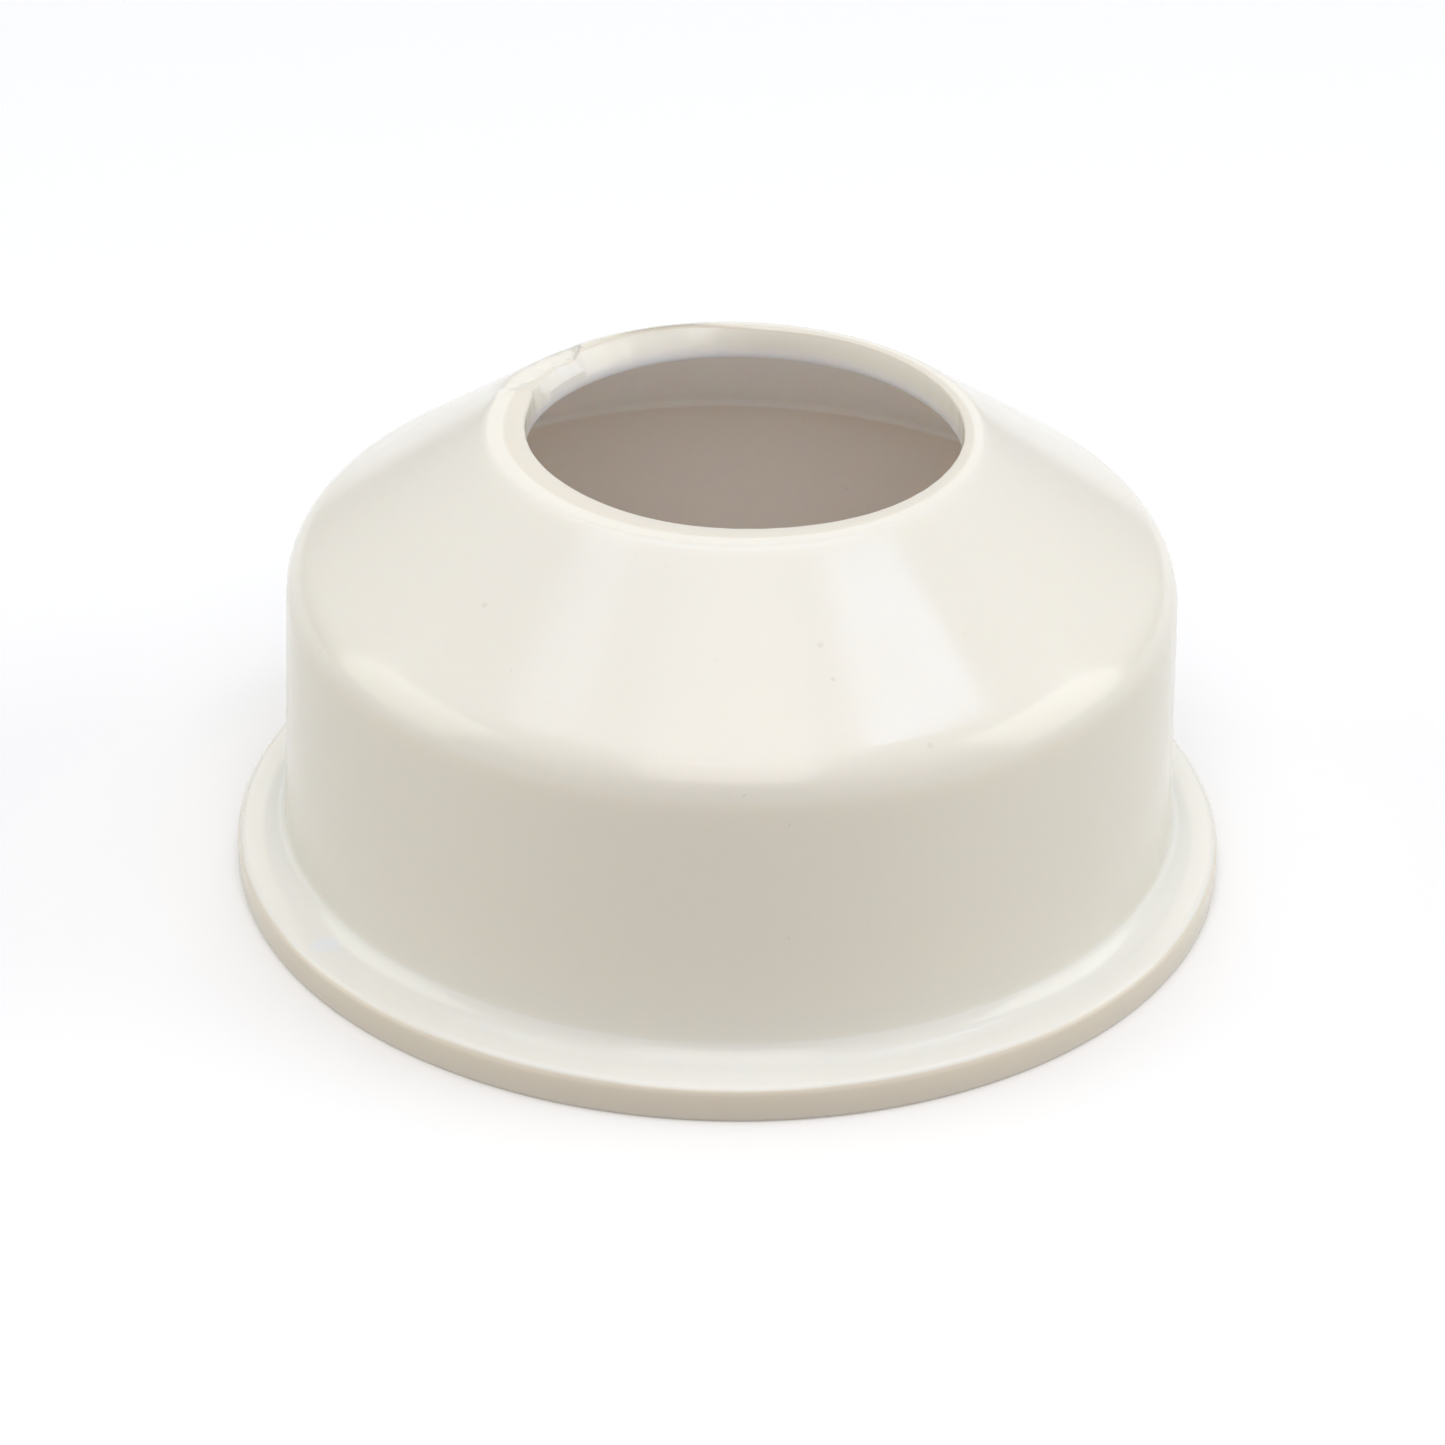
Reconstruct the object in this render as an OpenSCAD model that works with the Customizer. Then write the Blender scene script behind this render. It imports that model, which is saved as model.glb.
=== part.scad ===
// Round cowl vent base: a flanged skirt with a conical top and an open rim,
// a deck gasket under the flange, and an insect screen held by a snap ring.
// The origin is the centre of the flange's underside, with +Z up the axis.

/* [Flange] */
// Diameter of the flange
flange_d = 100; // [99:0.5:110]
// Thickness of the flange
flange_t = 3.8; // [3.4:0.1:5]

/* [Skirt] */
// Outer diameter of the skirt where it meets the flange
skirt_base_d = 90.4; // [90:0.1:92]
// Outer diameter of the skirt at the shoulder, less than the base by the draft
skirt_top_d = 88.4; // [88:0.1:90]
// Height of the shoulder, where skirt and cone would meet in a sharp corner
shoulder_h = 33.7; // [32:0.1:40]
// Radius of the rounded shoulder
shoulder_round = 6; // [3:0.5:9]
// Radius of the fillet between skirt and flange
flange_fillet = 2.6; // [0.5:0.1:3.4]

/* [Rim] */
// Overall height, to the top of the rim
total_h = 47.6; // [46:0.1:52]
// Outer diameter of the rim's flat top
rim_d = 49; // [48.6:0.1:52]
// Diameter of the opening
opening_d = 43.4; // [40:0.1:44.4]
// Height of the straight wall of the opening
opening_wall = 3.4; // [2.8:0.1:4]
// How far the opening is trimmed off centre towards +X
opening_shift_x = 1; // [-1.2:0.1:1.2]
// How far the opening is trimmed off centre towards +Y
opening_shift_y = 1.2; // [-1.2:0.1:1.2]

/* [Inside] */
// Inner diameter of the skirt above the screen's ledge
inner_base_d = 83.4; // [82:0.1:83.6]
// Inner diameter of the skirt at the inner shoulder
inner_top_d = 82.2; // [80:0.1:82.8]
// Height of the inner shoulder
inner_shoulder_h = 29.9; // [28:0.1:31]
// Radius of the rounded inner shoulder
inner_round = 4; // [2:0.5:6]

/* [Screen] */
// Diameter of the seat that the screen and its ring drop into
seat_d = 85.2; // [84.8:0.1:85.4]
// Height of the ledge that the screen rests against
ledge_h = 8; // [7:0.1:10]
// Thickness of the screen's rim
screen_t = 0.8; // [0.6:0.1:1]
// Spacing of the screen's bars
bar_pitch = 5; // [4:0.5:8]
// Width of the screen's bars
bar_w = 1.2; // [1.1:0.1:1.5]
// Height of the snap ring
ring_h = 3; // [2:0.1:3.5]
// Inner diameter of the snap ring
ring_inner_d = 80; // [78:0.5:81]
// Width of the gap where the snap ring is split
ring_gap = 7; // [4:0.5:12]

/* [Gasket] */
// Inner diameter of the gasket
gasket_inner_d = 89; // [88.5:0.1:90]
// Outer diameter of the gasket
gasket_outer_d = 96; // [94:0.1:97]
// Thickness of the gasket, the depth of its groove
gasket_t = 1.6; // [1:0.1:1.8]

/* [Hidden] */
$fn = 96;
// Largest turn between two points of an arc, in degrees
arc_step = 8;
// Rounding of the flange's rim, above and below
flange_round = 0.9;
flange_foot_round = 0.4;
// Rounding of the rim's outer edge
rim_round = 1.2;
// Radius of the moulded rim's web, which the opening is cut through
web_r = opening_d / 2 - 3;
// Radius of the flat underside round the opening
rim_under_r = rim_d / 2 - 0.3;
// Clearance of the pieces in their seats
clearance = 0.1;
// Depth of the groove that the snap ring springs into
snap_depth = 0.5;
// Width of the screen's solid border
screen_border = 2;
// Height of the undersides of the screen and of the snap ring
screen_z = ledge_h - screen_t;
ring_z = screen_z - ring_h;
// How far a cutter reaches past the faces that it cuts through
cut = 1;

function unit(v) = v / norm(v);

// Points of the arc that rounds corner b, between neighbours a and c, to radius r
function corner_arc(a, b, c, r) =
    let (
        u = unit(a - b),
        w = unit(c - b),
        half = acos(u * w) / 2,
        centre = b + unit(u + w) * r / sin(half),
        first = b + u * r / tan(half) - centre,
        last = b + w * r / tan(half) - centre,
        start = atan2(first.y, first.x),
        turn = (atan2(last.y, last.x) - start + 540) % 360 - 180,
        steps = max(2, ceil(abs(turn) / arc_step))
    )
    [
        for (i = [0 : steps])
            let (angle = start + turn * i / steps)
            centre + r * [cos(angle), sin(angle)]
    ];

// Turns a list of [radius, height, rounding] corners into an outline
function rounded(corners) =
    let (n = len(corners))
    [
        for (i = [0 : n - 1])
            let (
                a = corners[(i + n - 1) % n],
                b = corners[i],
                c = corners[(i + 1) % n]
            )
            each b.z > 0
                ? corner_arc([a.x, a.y], [b.x, b.y], [c.x, c.y], b.z)
                : [[b.x, b.y]]
    ];

// Section of the shell before the opening is cut: up the outside, over the rim, down the inside
function shell_corners() = [
    [gasket_outer_d / 2, 0, 0],
    [flange_d / 2, 0, flange_foot_round],
    [flange_d / 2, flange_t, flange_round],
    [skirt_base_d / 2, flange_t, flange_fillet],
    [skirt_top_d / 2, shoulder_h, shoulder_round],
    [rim_d / 2, total_h, rim_round],
    [web_r, total_h, 0],
    [web_r, total_h - opening_wall, 0],
    [rim_under_r, total_h - opening_wall, 0],
    [inner_top_d / 2, inner_shoulder_h, inner_round],
    [inner_base_d / 2, ledge_h, 0],
    [seat_d / 2, ledge_h, 0],
    [seat_d / 2, screen_z, 0],
    [seat_d / 2 + snap_depth, screen_z, 0],
    [seat_d / 2 + snap_depth, ring_z - clearance, 0],
    [seat_d / 2, ring_z - clearance, 0],
    [seat_d / 2, 0, flange_foot_round],
    [gasket_inner_d / 2, 0, 0],
    [gasket_inner_d / 2, gasket_t, 0],
    [gasket_outer_d / 2, gasket_t, 0],
];

// The moulded vent: flange, skirt, shoulder, cone and rim in one wall
module cowl_shell() {
    color("ivory")
        difference() {
            rotate_extrude()
                polygon(rounded(shell_corners()));
            translate([opening_shift_x, opening_shift_y, total_h - opening_wall - cut])
                cylinder(d = opening_d, h = opening_wall + 2 * cut);
        }
}

// Flat rubber ring pressed into the groove under the flange
module flange_gasket() {
    color("dimgray")
        difference() {
            cylinder(d = gasket_outer_d, h = gasket_t);
            translate([0, 0, -cut])
                cylinder(d = gasket_inner_d, h = gasket_t + 2 * cut);
        }
}

// Square openings between the screen's bars, as many as fit inside radius inner_r
module screen_openings(inner_r) {
    hole = bar_pitch - bar_w;
    reach = ceil(inner_r / bar_pitch);
    for (i = [-reach : reach])
        for (j = [-reach : reach])
            if (norm([i, j]) * bar_pitch + hole * sqrt(2) / 2 < inner_r)
                translate([i * bar_pitch, j * bar_pitch])
                    square(hole, center = true);
}

// Flat screen lying against the ledge inside the skirt, its fine mesh drawn coarse
module insect_screen() {
    color("lightsteelblue")
        translate([0, 0, screen_z])
            linear_extrude(screen_t)
                difference() {
                    circle(d = seat_d - 2 * clearance);
                    screen_openings(seat_d / 2 - screen_border);
                }
}

// Split ring that springs into the groove under the screen
module screen_ring() {
    color("whitesmoke")
        difference() {
            translate([0, 0, ring_z])
                cylinder(d = seat_d + 2 * (snap_depth - clearance), h = ring_h);
            translate([0, 0, ring_z - cut])
                cylinder(d = ring_inner_d, h = ring_h + 2 * cut);
            translate([-ring_gap / 2, 0, ring_z - cut])
                cube([ring_gap, seat_d, ring_h + 2 * cut]);
        }
}

cowl_shell();
flange_gasket();
insect_screen();
screen_ring();
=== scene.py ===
"""Looks of the cowl vent base: moulded shell, gasket, woven insect screen and snap ring."""

import math

import bpy
import numpy as np
from mathutils import Matrix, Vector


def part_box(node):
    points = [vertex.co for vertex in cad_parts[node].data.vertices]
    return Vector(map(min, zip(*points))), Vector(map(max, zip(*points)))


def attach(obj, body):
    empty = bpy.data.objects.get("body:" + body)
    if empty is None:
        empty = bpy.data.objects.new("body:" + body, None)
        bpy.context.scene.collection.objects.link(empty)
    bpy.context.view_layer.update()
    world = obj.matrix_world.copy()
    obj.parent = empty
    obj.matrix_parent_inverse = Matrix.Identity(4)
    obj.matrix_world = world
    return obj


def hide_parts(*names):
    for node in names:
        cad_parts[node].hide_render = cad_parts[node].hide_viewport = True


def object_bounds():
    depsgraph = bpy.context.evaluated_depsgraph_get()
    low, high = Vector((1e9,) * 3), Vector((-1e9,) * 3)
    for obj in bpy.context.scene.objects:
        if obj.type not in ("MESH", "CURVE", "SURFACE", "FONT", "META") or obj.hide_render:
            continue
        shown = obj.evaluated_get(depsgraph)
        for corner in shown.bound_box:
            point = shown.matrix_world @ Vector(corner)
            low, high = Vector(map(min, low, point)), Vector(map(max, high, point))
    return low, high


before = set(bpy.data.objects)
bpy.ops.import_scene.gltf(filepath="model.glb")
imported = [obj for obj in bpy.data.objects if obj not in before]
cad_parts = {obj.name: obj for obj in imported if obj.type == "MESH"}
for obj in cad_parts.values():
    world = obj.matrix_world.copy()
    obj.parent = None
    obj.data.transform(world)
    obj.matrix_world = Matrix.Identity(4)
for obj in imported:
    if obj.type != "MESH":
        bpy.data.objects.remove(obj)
cad_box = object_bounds()

# Outlines are drawn in mm. Meshes, patches, lights and the camera are in metres.
MM = 0.001
BODY = "root"
FLOOR_Z = cad_box[0][2]
# How far the gasket, screen and ring stay clear of the walls they sit between, in mm.
PLAY = 0.02

# ---------------------------------------------------------------- outlines


def unit(v):
    return v / np.linalg.norm(v)


def corner_arc(before, corner, after, radius, step=6.0):
    """Points of the arc that rounds a corner, one about every step degrees."""
    u = unit(before - corner)
    w = unit(after - corner)
    half = math.acos(np.clip(u @ w, -1.0, 1.0)) / 2
    centre = corner + unit(u + w) * radius / math.sin(half)
    first = corner + u * radius / math.tan(half) - centre
    last = corner + w * radius / math.tan(half) - centre
    start = math.atan2(first[1], first[0])
    turn = (math.atan2(last[1], last[0]) - start + 3 * math.pi) % (2 * math.pi) - math.pi
    count = max(3, math.ceil(abs(math.degrees(turn)) / step))
    angles = start + turn * np.arange(count + 1) / count
    return [centre + radius * np.array([math.cos(a), math.sin(a)]) for a in angles]


def outline(corners, longest=1.6):
    """Closed outline from (radius, height, rounding) corners, its straights cut into short steps."""
    points = []
    for i, (r, z, rounding) in enumerate(corners):
        here = np.array([r, z])
        if rounding:
            before = np.array(corners[i - 1][:2])
            after = np.array(corners[(i + 1) % len(corners)][:2])
            points += corner_arc(before, here, after, rounding)
        else:
            points.append(here)
    dense = []
    for a, b in zip(points, points[1:] + points[:1]):
        cuts = max(1, math.ceil(np.linalg.norm(b - a) / longest))
        dense += [a + (b - a) * k / cuts for k in range(cuts)]
    return np.array(dense)


# ---------------------------------------------------------------- meshes


def make_mesh(name, verts, faces, sharp_deg=40):
    mesh = bpy.data.meshes.new(name)
    mesh.from_pydata([tuple(v) for v in verts], [], faces)
    mesh.validate()
    mesh.shade_smooth()
    mesh.set_sharp_from_angle(angle=math.radians(sharp_deg))
    piece = bpy.data.objects.new(name, mesh)
    bpy.context.scene.collection.objects.link(piece)
    return piece


def revolve(name, profile, segments, warp=None):
    """Turns a closed outline about Z into a closed mesh. warp moves the points."""
    phi = np.arange(segments) * 2 * math.pi / segments
    r, z = profile[:, 0][None, :], profile[:, 1][None, :]
    a = phi[:, None] + 0 * r
    r, z = r + 0 * a, z + 0 * a
    if warp is None:
        x, y = r * np.cos(a), r * np.sin(a)
    else:
        x, y, z = warp(r, z, a)
    verts = np.stack([x, y, z], axis=-1).reshape(-1, 3) * MM
    n = len(profile)
    faces = []
    for i in range(segments):
        k = (i + 1) % segments
        for j in range(n):
            m = (j + 1) % n
            faces.append((i * n + j, k * n + j, k * n + m, i * n + m))
    return make_mesh(name, verts, faces)


def ring_strip(verts, faces, rings):
    """Adds a tube through rings of points, closed by a cap at each end."""
    base = len(verts)
    sides = len(rings[0])
    for ring in rings:
        verts.extend(ring)
    for i in range(len(rings) - 1):
        for j in range(sides):
            m = (j + 1) % sides
            a = base + i * sides
            faces.append((a + j, a + m, a + sides + m, a + sides + j))
    faces.append(tuple(base + j for j in reversed(range(sides))))
    top = base + (len(rings) - 1) * sides
    faces.append(tuple(top + j for j in range(sides)))


# ---------------------------------------------------------------- shell

FLANGE_R = (cad_box[1][0] - cad_box[0][0]) / 2 / MM
TOP = cad_box[1][2] / MM
FLANGE_T = 3.8
FLANGE_FILLET = 2.6
SKIRT_BASE_R = 45.2
SHOULDER_R = 44.2
SHOULDER_H = 33.7
SHOULDER_ROUND = 6.0
RIM_R = 24.5
HOLE_R = 21.6
HOLE_WALL = 3.4
HOLE_SHIFT = (0.95, 1.25)
HOLE_LEAN = 0.35
BEAD_R = RIM_R - 0.4
LAND_DROP = 0.25
CONE_SLOPE = (TOP - SHOULDER_H) / (SHOULDER_R - RIM_R)
EDGE_WANDER = 0.05
EDGE_SHAKE = 0.015
EDGE_RAGGED = 0.07
BITE_REACH = 1.6
BITE_DEPTH = 2.4
CHIP_WIDTH_DEG = 3.0
SLICE_DEPTH = 1.1
SLICE_RIPPLE = 0.08
SLICE_SKEW_DEG = 2.1
LID_R = 24.2
ROOF_R = 41.1
ROOF_H = 29.9
INNER_BASE_R = 41.7
LEDGE_H = 8.0
SEAT_R = 42.6
RING_GROOVE_R = 43.1
RING_GROOVE_LOW = 4.1
RING_GROOVE_HIGH = 7.2
GASKET_GROOVE_IN = 44.5
GASKET_GROOVE_OUT = 48.0
GASKET_GROOVE_DEPTH = 1.6
SHELL_SEGMENTS = 480
BAND_SEGMENTS = 256

shell_outline = outline([
    (GASKET_GROOVE_OUT, 0.0, 0),
    (FLANGE_R, 0.0, 0.45),
    (FLANGE_R, FLANGE_T, 0.9),
    (SKIRT_BASE_R, FLANGE_T, FLANGE_FILLET),
    (SHOULDER_R, SHOULDER_H, SHOULDER_ROUND),
    (RIM_R, TOP, 2.0),
    (RIM_R - 1.4, TOP, 4.0),
    (HOLE_R, TOP - LAND_DROP, 0.25),
    (HOLE_R, TOP - HOLE_WALL, 0.3),
    (LID_R, TOP - HOLE_WALL, 0.5),
    (ROOF_R, ROOF_H, 4.0),
    (INNER_BASE_R, LEDGE_H, 0.15),
    (SEAT_R, LEDGE_H, 0.1),
    (SEAT_R, RING_GROOVE_HIGH, 0.1),
    (RING_GROOVE_R, RING_GROOVE_HIGH, 0.1),
    (RING_GROOVE_R, RING_GROOVE_LOW, 0.1),
    (SEAT_R, RING_GROOVE_LOW, 0.1),
    (SEAT_R, 0.0, 0.4),
    (GASKET_GROOVE_IN, 0.0, 0.1),
    (GASKET_GROOVE_IN, GASKET_GROOVE_DEPTH, 0.1),
    (GASKET_GROOVE_OUT, GASKET_GROOVE_DEPTH, 0.1),
])


def smooth(t):
    t = np.clip(t, 0.0, 1.0)
    return t * t * (3 - 2 * t)


def ripple(a, seed, low, high, count=14):
    """Seeded sum of sine waves round the axis, with low to high waves a turn, about -1 to 1."""
    rng = np.random.default_rng(seed)
    total = 0 * a
    for _ in range(count):
        total = total + np.sin(rng.integers(low, high) * a + rng.uniform(0, 2 * math.pi))
    return total / math.sqrt(count)


def bump(a, centre_deg, width_deg):
    """Smooth bump of height 1 round one azimuth."""
    off = (a - math.radians(centre_deg) + math.pi) % (2 * math.pi) - math.pi
    return np.exp(-((off / math.radians(width_deg)) ** 2))


def span(a, from_deg, to_deg, soft_deg):
    """1 between two azimuths, falling to 0 over soft_deg outside them."""
    deg = np.degrees(a) % 360
    return smooth((deg - from_deg) / soft_deg + 1) * smooth((to_deg - deg) / soft_deg + 1)


def rise(a, from_deg, to_deg):
    """0 before the first azimuth and 1 from the second on; the other way round if they run backwards."""
    return smooth((np.degrees(a) % 360 - from_deg) / (to_deg - from_deg))


def trim_rim(r, z, a):
    """Moves the opening off centre and gives its hand-cut edge a wander, a bite, chips and a slice.

    The bite is at the rear left. Past its middle, the rim's top is sliced off and the edge is ragged.
    """
    web = z > TOP - HOLE_WALL - 0.5
    inward = np.clip((BEAD_R - r) / (BEAD_R - HOLE_R), 0.0, 1.0) * web
    high = smooth((z - (TOP - BITE_DEPTH)) / BITE_DEPTH)
    wander = EDGE_WANDER * ripple(a, 3, 2, 9) + EDGE_SHAKE * ripple(a, 5, 20, 60)
    bite = BITE_REACH * rise(a, 82, 116) * rise(a, 172, 142)
    chips = 0
    for size, centre_deg in ((0.25, 146), (0.3, 155), (0.2, 163)):
        chips = chips + size * bump(a, centre_deg, CHIP_WIDTH_DEG)
    ragged = EDGE_RAGGED * ripple(a, 8, 30, 90) * span(a, 141, 170, 6)
    out = inward * (wander + high * (bite + chips + ragged))
    skewed = a + math.radians(SLICE_SKEW_DEG) * (r - HOLE_R)
    slice_depth = SLICE_DEPTH + SLICE_RIPPLE * ripple(a, 8, 30, 70)
    sliced = TOP - slice_depth * rise(skewed, 136.5, 138) * rise(a, 168, 148)
    x = (r + out) * np.cos(a) + inward * HOLE_SHIFT[0]
    y = (r + out) * np.sin(a) + inward * (HOLE_SHIFT[1] + HOLE_LEAN * high)
    return x, y, np.minimum(z, sliced)


shell = revolve("cowl_shell_body", shell_outline, SHELL_SEGMENTS, trim_rim)


def mark(piece, name, flags, segments):
    """Writes flags, one for each point of the outline, to the vertices of a turned piece."""
    made = piece.data.attributes.new(name, "FLOAT", "POINT")
    made.data.foreach_set("value", np.tile(flags.astype(np.float32), segments))


# Regions of the outline that differ in colour, with small margins at the rounded corners. Their colours
# are mostly painted light and shade: lighter on the flange top and inside roof, darker on the flange
# side, warm shade on the skirt side and inner walls, and shade on the cut edge.
outline_r, outline_z = shell_outline[:, 0], shell_outline[:, 1]
under_lid = outline_z < TOP - 0.9 * HOLE_WALL - CONE_SLOPE * np.maximum(0.0, outline_r - RIM_R)
# inner marks the inside walls, which get a warmer, slightly darker colour that is painted shade, and
# more subsurface.
inner = (outline_r < SEAT_R - 0.7) & under_lid
bore_wall = (outline_r < HOLE_R + 0.2) & (outline_z < TOP - LAND_DROP - 0.2)
# The cut rim land gets its rough-cut colour, darkened in part by painted shade, and a rougher finish.
trimmed = ((outline_r < RIM_R - 1.5) & ~inner) * np.where(bore_wall, 0.1, 1.0)
# Painted light: the roof under the cone is lighter, standing for light coming through the cone.
roof_painted_light = inner & (outline_z > ROOF_H)
# Painted shade: the flange's outer side is darker.
flange_side_painted_shade = (outline_r > FLANGE_R - 0.3) & (outline_z < FLANGE_T - 0.3)
outer = outline_r > SHOULDER_R - 0.3
# Painted light: the flange top and the fillet below the skirt are lighter.
flange_top_painted_light = outer & (outline_r < FLANGE_R - 0.3) & (abs(outline_z - FLANGE_T - 0.8) < 1.0)
# Painted shade: the skirt's upright sides get a warm shade tint.
skirt_side_painted_shade = outer & (outline_z > FLANGE_T + 2.2) & (outline_z < SHOULDER_H - 2.0)
regions = {
    "inside": inner,
    "roof_painted_light": roof_painted_light,
    "trimmed": trimmed,
    "flange_side_painted_shade": flange_side_painted_shade,
    "flange_top_painted_light": flange_top_painted_light,
    "skirt_side_painted_shade": skirt_side_painted_shade,
}
for region, flags in regions.items():
    mark(shell, region, flags, SHELL_SEGMENTS)

# ---------------------------------------------------------------- gasket

gasket_low, gasket_high = (np.array(c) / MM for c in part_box("flange_gasket"))
GASKET_OUT = gasket_high[0] - PLAY
GASKET_IN = GASKET_GROOVE_IN + PLAY
GASKET_T = gasket_high[2] - PLAY
GASKET_VALLEY = 0.35
RIB = (GASKET_OUT - GASKET_IN) / 5

gasket = revolve("gasket_ring", outline([
    (GASKET_IN, 0.0, 0.2),
    (GASKET_IN + RIB, 0.0, 0.2),
    (GASKET_IN + 1.25 * RIB, GASKET_VALLEY, 0.1),
    (GASKET_IN + 1.75 * RIB, GASKET_VALLEY, 0.1),
    (GASKET_IN + 2 * RIB, 0.0, 0.2),
    (GASKET_IN + 3 * RIB, 0.0, 0.2),
    (GASKET_IN + 3.25 * RIB, GASKET_VALLEY, 0.1),
    (GASKET_IN + 3.75 * RIB, GASKET_VALLEY, 0.1),
    (GASKET_IN + 4 * RIB, 0.0, 0.2),
    (GASKET_OUT, 0.0, 0.2),
    (GASKET_OUT, GASKET_T, 0.15),
    (GASKET_IN, GASKET_T, 0.15),
], 0.8), BAND_SEGMENTS)

# ---------------------------------------------------------------- insect screen

screen_low, screen_high = (np.array(c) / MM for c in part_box("insect_screen"))
SCREEN_MID = (screen_low[2] + screen_high[2]) / 2
SCREEN_R = screen_high[0]
BORDER = 2.0
WIRE_R = 0.15
PITCH = 1.8
WIRE_SIDES = 6
STEPS_PER_PITCH = 4

screen_border = revolve("screen_border", outline([
    (SCREEN_R - BORDER, screen_low[2] + PLAY, 0.25),
    (SCREEN_R, screen_low[2] + PLAY, 0.2),
    (SCREEN_R, screen_high[2] - PLAY, 0.2),
    (SCREEN_R - BORDER, screen_high[2] - PLAY, 0.25),
], 0.8), BAND_SEGMENTS)


def weave():
    """Plain weave of crimped wires, each running into the border at both ends."""
    verts, faces = [], []
    reach = SCREEN_R - BORDER / 2
    count = int(reach / PITCH)
    turn = np.arange(WIRE_SIDES) * 2 * math.pi / WIRE_SIDES
    for across in (False, True):
        for i in range(-count, count + 1):
            side = i * PITCH
            half = math.sqrt(reach**2 - side**2)
            steps = max(4, round(2 * half / PITCH * STEPS_PER_PITCH))
            sign = (1 if i % 2 else -1) * (1 if across else -1)
            rings = []
            for t in np.linspace(-half, half, steps + 1):
                lift = SCREEN_MID + sign * WIRE_R * math.cos(math.pi * t / PITCH)
                ring = []
                for b in turn:
                    u, v = side + WIRE_R * math.cos(b), lift + WIRE_R * math.sin(b)
                    x, y = (u, t) if across else (t, u)
                    ring.append((x * MM, y * MM, v * MM))
                rings.append(ring)
            ring_strip(verts, faces, rings)
    return make_mesh("screen_weave", verts, faces, 60)


screen_weave = weave()

# ---------------------------------------------------------------- snap ring

ring_low, ring_high = (np.array(c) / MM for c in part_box("screen_ring"))
RING_OUT = ring_high[0]
RING_IN = 40.0
RING_GAP = 7.0
RING_STEPS = 300
END_ROUND = 0.8


def snap_ring():
    """Split ring with its gap towards +Y and rounded ends."""
    low, high = ring_low[2] + PLAY, ring_high[2] - PLAY
    section = outline([
        (RING_IN, low, 0.5),
        (RING_OUT, low, 0.35),
        (RING_OUT, high, 0.2),
        (RING_IN, high, 0.5),
    ], 0.7)
    centre = np.array([(RING_IN + RING_OUT) / 2, (low + high) / 2])
    gap = math.asin(RING_GAP / 2 / centre[0])
    start, end = math.pi / 2 + gap, 2.5 * math.pi - gap
    soft = END_ROUND / centre[0]
    tips = [(start + soft * (1 - math.cos(q)), math.sin(q)) for q in np.linspace(0.35, math.pi / 2, 6)]
    tails = [(end - soft * (1 - math.cos(q)), math.sin(q)) for q in np.linspace(math.pi / 2, 0.35, 6)]
    middle = [(a, 1.0) for a in np.linspace(start + soft, end - soft, RING_STEPS)[1:-1]]
    rings = []
    for a, swell in tips + middle + tails:
        inset = (1 - swell) * END_ROUND
        shrink = 1 - inset / np.abs(section - centre).max(axis=0)
        pts = centre + (section - centre) * shrink
        rings.append([(r * math.cos(a) * MM, r * math.sin(a) * MM, z * MM) for r, z in pts])
    verts, faces = [], []
    ring_strip(verts, faces, rings)
    return make_mesh("snap_ring", verts, faces)


ring = snap_ring()

# ---------------------------------------------------------------- materials


def new_material(name):
    material = bpy.data.materials.new(name)
    material.use_nodes = True
    tree = material.node_tree
    return material, tree, tree.nodes["Principled BSDF"]


def noise(tree, coords, scale, detail=3.0, rough=0.55):
    made = tree.nodes.new("ShaderNodeTexNoise")
    made.inputs["Scale"].default_value = scale
    made.inputs["Detail"].default_value = detail
    made.inputs["Roughness"].default_value = rough
    tree.links.new(coords, made.inputs["Vector"])
    return made.outputs["Fac"]


def ramp(tree, fac, low, high, low_value, high_value):
    """Maps fac between low and high to a number, held at the ends."""
    made = tree.nodes.new("ShaderNodeMapRange")
    made.interpolation_type = "SMOOTHSTEP"
    made.inputs["From Min"].default_value = low
    made.inputs["From Max"].default_value = high
    made.inputs["To Min"].default_value = low_value
    made.inputs["To Max"].default_value = high_value
    tree.links.new(fac, made.inputs["Value"])
    return made.outputs["Result"]


def blend_colour(tree, fac, under, over):
    """Colour under, turning to over as fac goes to 1. Each colour is a socket or an RGB triple."""
    made = tree.nodes.new("ShaderNodeMix")
    made.data_type = "RGBA"
    tree.links.new(fac, made.inputs["Factor"])
    for socket, colour in ((made.inputs["A"], under), (made.inputs["B"], over)):
        if isinstance(colour, tuple):
            socket.default_value = (*colour, 1.0)
        else:
            tree.links.new(colour, socket)
    return made.outputs["Result"]


def math_node(tree, operation, a, b=None):
    made = tree.nodes.new("ShaderNodeMath")
    made.operation = operation
    for socket, value in zip(made.inputs, (a, b)):
        if value is None:
            continue
        if isinstance(value, (int, float)):
            socket.default_value = value
        else:
            tree.links.new(value, socket)
    return made.outputs["Value"]


def bump_node(tree, height, strength, distance):
    made = tree.nodes.new("ShaderNodeBump")
    made.inputs["Strength"].default_value = strength
    made.inputs["Distance"].default_value = distance
    tree.links.new(height, made.inputs["Height"])
    return made.outputs["Normal"]


def marked(tree, name):
    """What mark() wrote to the vertices under this name."""
    made = tree.nodes.new("ShaderNodeAttribute")
    made.attribute_name = name
    return made.outputs["Fac"]


def spot(tree, coords, centre, size):
    """1 inside an ellipsoid patch round centre (m), falling to 0 at its edge."""
    mapping = tree.nodes.new("ShaderNodeMapping")
    mapping.vector_type = "TEXTURE"
    mapping.inputs["Location"].default_value = centre
    mapping.inputs["Scale"].default_value = size
    tree.links.new(coords, mapping.inputs["Vector"])
    length = tree.nodes.new("ShaderNodeVectorMath")
    length.operation = "LENGTH"
    tree.links.new(mapping.outputs["Vector"], length.inputs[0])
    return ramp(tree, length.outputs["Value"], 1.0, 0.3, 0.0, 1.0)


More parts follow.
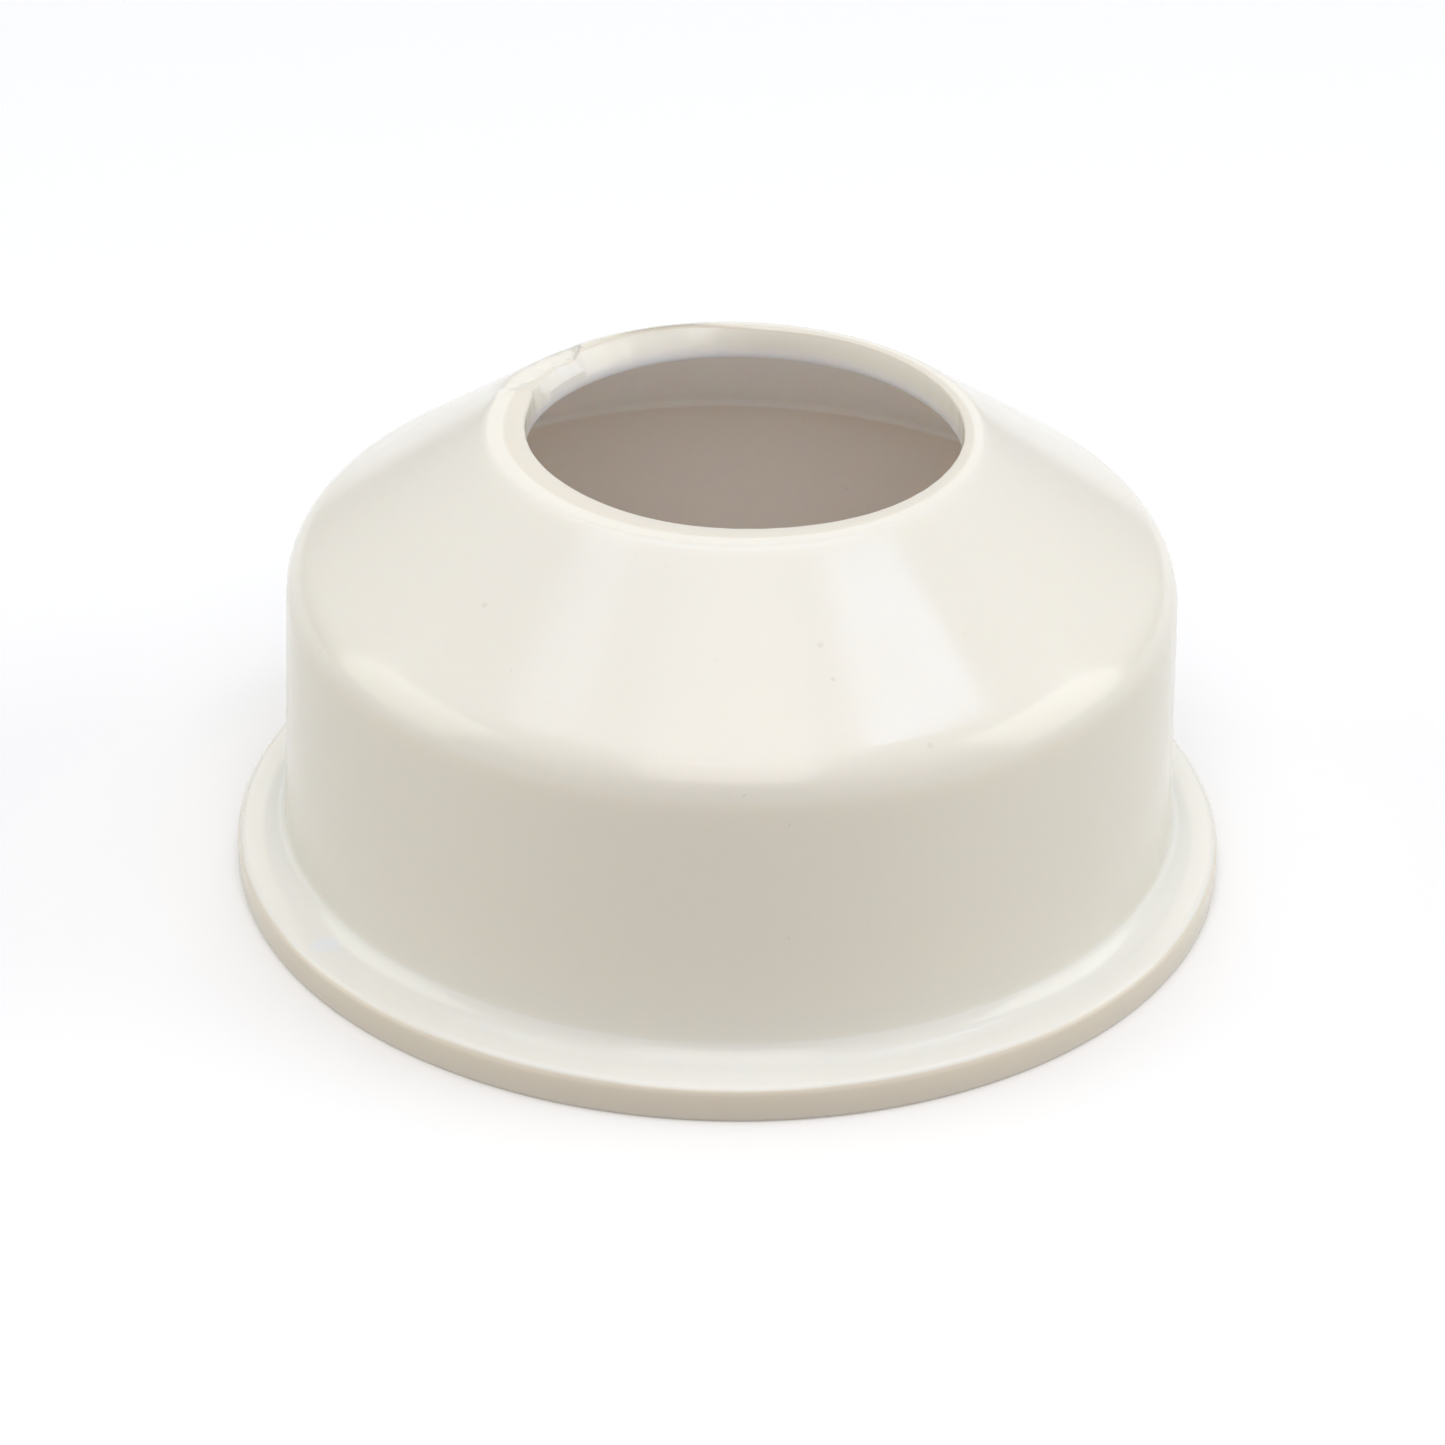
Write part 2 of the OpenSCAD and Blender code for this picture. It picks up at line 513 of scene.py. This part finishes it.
MOULDED_DARK = (0.858, 0.823, 0.745)
MOULDED_LIGHT = (0.866, 0.832, 0.755)
# Painted shade: the inner walls are warmer and a little darker than the moulding.
INSIDE_WALL_PAINTED_SHADE = (0.84, 0.785, 0.745)
# Painted light: the inside roof under the cone is lighter than the inner walls.
INSIDE_ROOF_PAINTED_LIGHT = (0.94, 0.89, 0.872)
# Painted shade: a warm tint on the skirt's upright sides.
SKIRT_SIDE_PAINTED_SHADE = (0.872, 0.825, 0.730)
# Painted light: the flange top is lighter than the moulding.
FLANGE_TOP_PAINTED_LIGHT = (0.92, 0.892, 0.82)
# Painted shade: the flange's outer side is darker and warmer than the moulding.
FLANGE_SIDE_PAINTED_SHADE = (0.80, 0.72, 0.61)
# Cut edge: partly the rough-cut plastic's own colour, partly painted shade on the rim land.
CUT_EDGE_AND_SHADE = (0.80, 0.745, 0.65)
CUT_EDGE_ROUGHNESS = 0.55
SMUDGE = (0.86, 0.90, 0.98)
SMUDGE_AT = (-0.0390, -0.0266, 0.0038)
SMUDGE_SIZE = (0.0024, 0.0018, 0.001)
SMUDGE_STRENGTH = 0.5
DIRT = (0.45, 0.36, 0.24)
DIRT_AT = [(-0.0233, -0.0245, 0.0410), (0.0083, -0.0320, 0.0416), (0.0186, -0.0384, 0.0348)]
DIRT_SIZE = (0.00045, 0.00045, 0.00045)
DIRT_STRENGTH = 0.15
SPECK = (0.45, 0.38, 0.26)


def shell_plastic():
    """Off-white moulded plastic: faint mottling, specks, a pale smudge on the flange and a cut edge,
    with painted light and shade: a lighter flange top and inside roof, a darker flange side, warm shade
    on the skirt side and inner walls, and shade on the cut edge.
    """
    material, tree, bsdf = new_material("shell_plastic")
    coords = tree.nodes.new("ShaderNodeTexCoord").outputs["Object"]
    inside = marked(tree, "inside")
    cut_edge_and_shade = marked(tree, "trimmed")
    colour = blend_colour(tree, noise(tree, coords, 55.0), MOULDED_DARK, MOULDED_LIGHT)
    # Painted shade: warmer, darker inner walls.
    colour = blend_colour(tree, inside, colour, INSIDE_WALL_PAINTED_SHADE)
    # Painted light on the inside roof.
    colour = blend_colour(tree, marked(tree, "roof_painted_light"), colour, INSIDE_ROOF_PAINTED_LIGHT)
    # Painted shade on the skirt's sides.
    colour = blend_colour(tree, marked(tree, "skirt_side_painted_shade"), colour, SKIRT_SIDE_PAINTED_SHADE)
    # Painted light on the flange top.
    colour = blend_colour(tree, marked(tree, "flange_top_painted_light"), colour, FLANGE_TOP_PAINTED_LIGHT)
    # Painted shade on the flange's outer side.
    colour = blend_colour(tree, marked(tree, "flange_side_painted_shade"), colour, FLANGE_SIDE_PAINTED_SHADE)
    # Cut edge: its own rough-cut colour plus painted shade.
    colour = blend_colour(tree, cut_edge_and_shade, colour, CUT_EDGE_AND_SHADE)
    smudge = math_node(tree, "MULTIPLY", spot(tree, coords, SMUDGE_AT, SMUDGE_SIZE), SMUDGE_STRENGTH)
    colour = blend_colour(tree, smudge, colour, SMUDGE)
    for place in DIRT_AT:
        dirt = math_node(tree, "MULTIPLY", spot(tree, coords, place, DIRT_SIZE), DIRT_STRENGTH)
        colour = blend_colour(tree, dirt, colour, DIRT)
    specks = ramp(tree, noise(tree, coords, 900.0, 2.0), 0.77, 0.79, 0.0, 0.2)
    colour = blend_colour(tree, specks, colour, SPECK)
    tree.links.new(colour, bsdf.inputs["Base Color"])
    rough = ramp(tree, noise(tree, coords, 140.0, 5.0), 0.3, 0.7, 0.13, 0.19)
    rough = math_node(tree, "MAXIMUM", rough, math_node(tree, "MULTIPLY", cut_edge_and_shade, CUT_EDGE_ROUGHNESS))
    tree.links.new(rough, bsdf.inputs["Roughness"])
    bsdf.inputs["IOR"].default_value = 1.5
    tree.links.new(ramp(tree, inside, 0.0, 1.0, 0.4, 0.85), bsdf.inputs["Subsurface Weight"])
    bsdf.inputs["Subsurface Radius"].default_value = (1.0, 0.8, 0.62)
    bsdf.inputs["Subsurface Scale"].default_value = 0.006
    tree.links.new(bump_node(tree, noise(tree, coords, 220.0, 4.0), 0.12, 0.0002), bsdf.inputs["Normal"])
    return material


def gasket_rubber():
    material, tree, bsdf = new_material("gasket_rubber")
    coords = tree.nodes.new("ShaderNodeTexCoord").outputs["Object"]
    colour = blend_colour(tree, noise(tree, coords, 300.0), (0.02, 0.02, 0.022), (0.045, 0.045, 0.048))
    tree.links.new(colour, bsdf.inputs["Base Color"])
    rough = ramp(tree, noise(tree, coords, 500.0), 0.3, 0.7, 0.65, 0.85)
    tree.links.new(rough, bsdf.inputs["Roughness"])
    tree.links.new(bump_node(tree, noise(tree, coords, 1500.0), 0.3, 0.0001), bsdf.inputs["Normal"])
    return material


def screen_steel():
    material, tree, bsdf = new_material("screen_steel")
    coords = tree.nodes.new("ShaderNodeTexCoord").outputs["Object"]
    colour = blend_colour(tree, noise(tree, coords, 400.0), (0.50, 0.50, 0.49), (0.66, 0.655, 0.64))
    tree.links.new(colour, bsdf.inputs["Base Color"])
    bsdf.inputs["Metallic"].default_value = 1.0
    rough = ramp(tree, noise(tree, coords, 800.0), 0.3, 0.7, 0.26, 0.42)
    tree.links.new(rough, bsdf.inputs["Roughness"])
    tree.links.new(bump_node(tree, noise(tree, coords, 2500.0), 0.2, 0.00005), bsdf.inputs["Normal"])
    return material


def ring_plastic():
    material, tree, bsdf = new_material("ring_plastic")
    coords = tree.nodes.new("ShaderNodeTexCoord").outputs["Object"]
    colour = blend_colour(tree, noise(tree, coords, 90.0), (0.70, 0.68, 0.61), (0.76, 0.74, 0.67))
    tree.links.new(colour, bsdf.inputs["Base Color"])
    rough = ramp(tree, noise(tree, coords, 260.0, 5.0), 0.3, 0.7, 0.38, 0.5)
    tree.links.new(rough, bsdf.inputs["Roughness"])
    tree.links.new(bump_node(tree, noise(tree, coords, 600.0, 4.0), 0.2, 0.0001), bsdf.inputs["Normal"])
    return material


def floor_paint():
    material, tree, bsdf = new_material("floor_paint")
    bsdf.inputs["Base Color"].default_value = (0.99, 0.99, 0.99, 1.0)
    bsdf.inputs["Roughness"].default_value = 0.9
    return material


# ---------------------------------------------------------------- what each piece is

MATERIALS = {
    "shell_plastic": shell_plastic(),
    "gasket_rubber": gasket_rubber(),
    "screen_steel": screen_steel(),
    "ring_plastic": ring_plastic(),
}
PIECES = [
    (shell, "cowl_shell", "shell_plastic"),
    (gasket, "flange_gasket", "gasket_rubber"),
    (screen_border, "insect_screen", "screen_steel"),
    (screen_weave, "insect_screen", "screen_steel"),
    (ring, "screen_ring", "ring_plastic"),
]
for piece, node, slot in PIECES:
    piece.data.materials.append(MATERIALS[slot])
    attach(piece, BODY)
    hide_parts(node)

# ---------------------------------------------------------------- floor, lights and camera

FLOOR_HALF = 3.0

floor_corners = [
    (-FLOOR_HALF, -FLOOR_HALF, FLOOR_Z),
    (FLOOR_HALF, -FLOOR_HALF, FLOOR_Z),
    (FLOOR_HALF, FLOOR_HALF, FLOOR_Z),
    (-FLOOR_HALF, FLOOR_HALF, FLOOR_Z),
]
floor_mesh = bpy.data.meshes.new("floor")
floor_mesh.from_pydata(floor_corners, [], [(0, 1, 2, 3)])
floor = bpy.data.objects.new("floor", floor_mesh)
bpy.context.scene.collection.objects.link(floor)
floor.data.materials.append(floor_paint())
# The floor throws no light back up at the object.
floor.visible_diffuse = False


def softbox(name, azimuth, elevation, distance, size, power, wide=1.0, roll=0.0, tint=(1.0, 1.0, 1.0)):
    """Rectangular light that faces the object, its second side wide times its first.

    Angles are in degrees, azimuth from +X towards +Y. roll turns the light about its own axis.
    """
    data = bpy.data.lights.new(name, "AREA")
    data.shape = "RECTANGLE"
    data.size = size
    data.size_y = size * wide
    data.energy = power
    data.color = tint
    lamp = bpy.data.objects.new(name, data)
    bpy.context.scene.collection.objects.link(lamp)
    round_axis = Matrix.Rotation(math.radians(azimuth), 4, "Z")
    tip = Matrix.Rotation(math.radians(90 - elevation), 4, "Y")
    spin = Matrix.Rotation(math.radians(roll), 4, "Z")
    lamp.matrix_world = round_axis @ tip @ Matrix.Translation((0, 0, distance)) @ spin


softbox("top_light", 0, 90, 1.0, 0.9, 2.25, tint=(0.92, 0.92, 1.0))
softbox("front_high_light", -90, 68, 1.1, 0.5, 0.6)
softbox("front_light", -90, 45, 1.2, 0.8, 3.95, tint=(1.0, 0.95, 0.94))
softbox("back_high_light", 90, 60, 1.1, 0.6, 1.1, tint=(0.7, 0.8, 1.0))
softbox("back_light", 90, 20, 1.2, 0.7, 1.2, tint=(1.0, 0.95, 0.8))
softbox("left_high_light", 181, 63, 0.9, 0.14, 0.2, 2.0, tint=(0.6, 0.75, 1.0))
softbox("right_high_light", -4, 62, 0.9, 0.1, 0.38, 3.3, -38, (0.55, 0.7, 1.0))
softbox("left_light", 180, 22, 1.2, 0.9, 4.1, tint=(0.96, 1.0, 0.9))
softbox("right_light", 0, 22, 1.2, 0.9, 5.3, tint=(0.97, 1.0, 0.93))

world = bpy.data.worlds.new("world")
bpy.context.scene.world = world
world.use_nodes = True
background = world.node_tree.nodes["Background"]
background.inputs["Color"].default_value = (1.0, 0.97, 0.95, 1.0)
background.inputs["Strength"].default_value = 0.355

# The camera's place is in metres and its angles are in radians.
CAMERA_BACK = 0.4279
CAMERA_UP = 0.2647
CAMERA_TILT = 0.5294
CAMERA_PAN = -0.0017
CAMERA_ROLL = 0.0172
CAMERA_LENS = 121.84

camera_data = bpy.data.cameras.new("camera")
camera_data.sensor_width = 36.0
camera_data.lens = CAMERA_LENS
camera_data.clip_start = 0.01
camera_data.clip_end = 20.0
camera = bpy.data.objects.new("camera", camera_data)
bpy.context.scene.collection.objects.link(camera)
camera.matrix_world = (
    Matrix.Translation((0, -CAMERA_BACK, CAMERA_UP))
    @ Matrix.Rotation(-CAMERA_PAN, 4, "Z")
    @ Matrix.Rotation(math.pi / 2 - CAMERA_TILT, 4, "X")
    @ Matrix.Rotation(CAMERA_ROLL, 4, "Z")
)
bpy.context.scene.camera = camera
bpy.context.scene.view_settings.view_transform = "Standard"
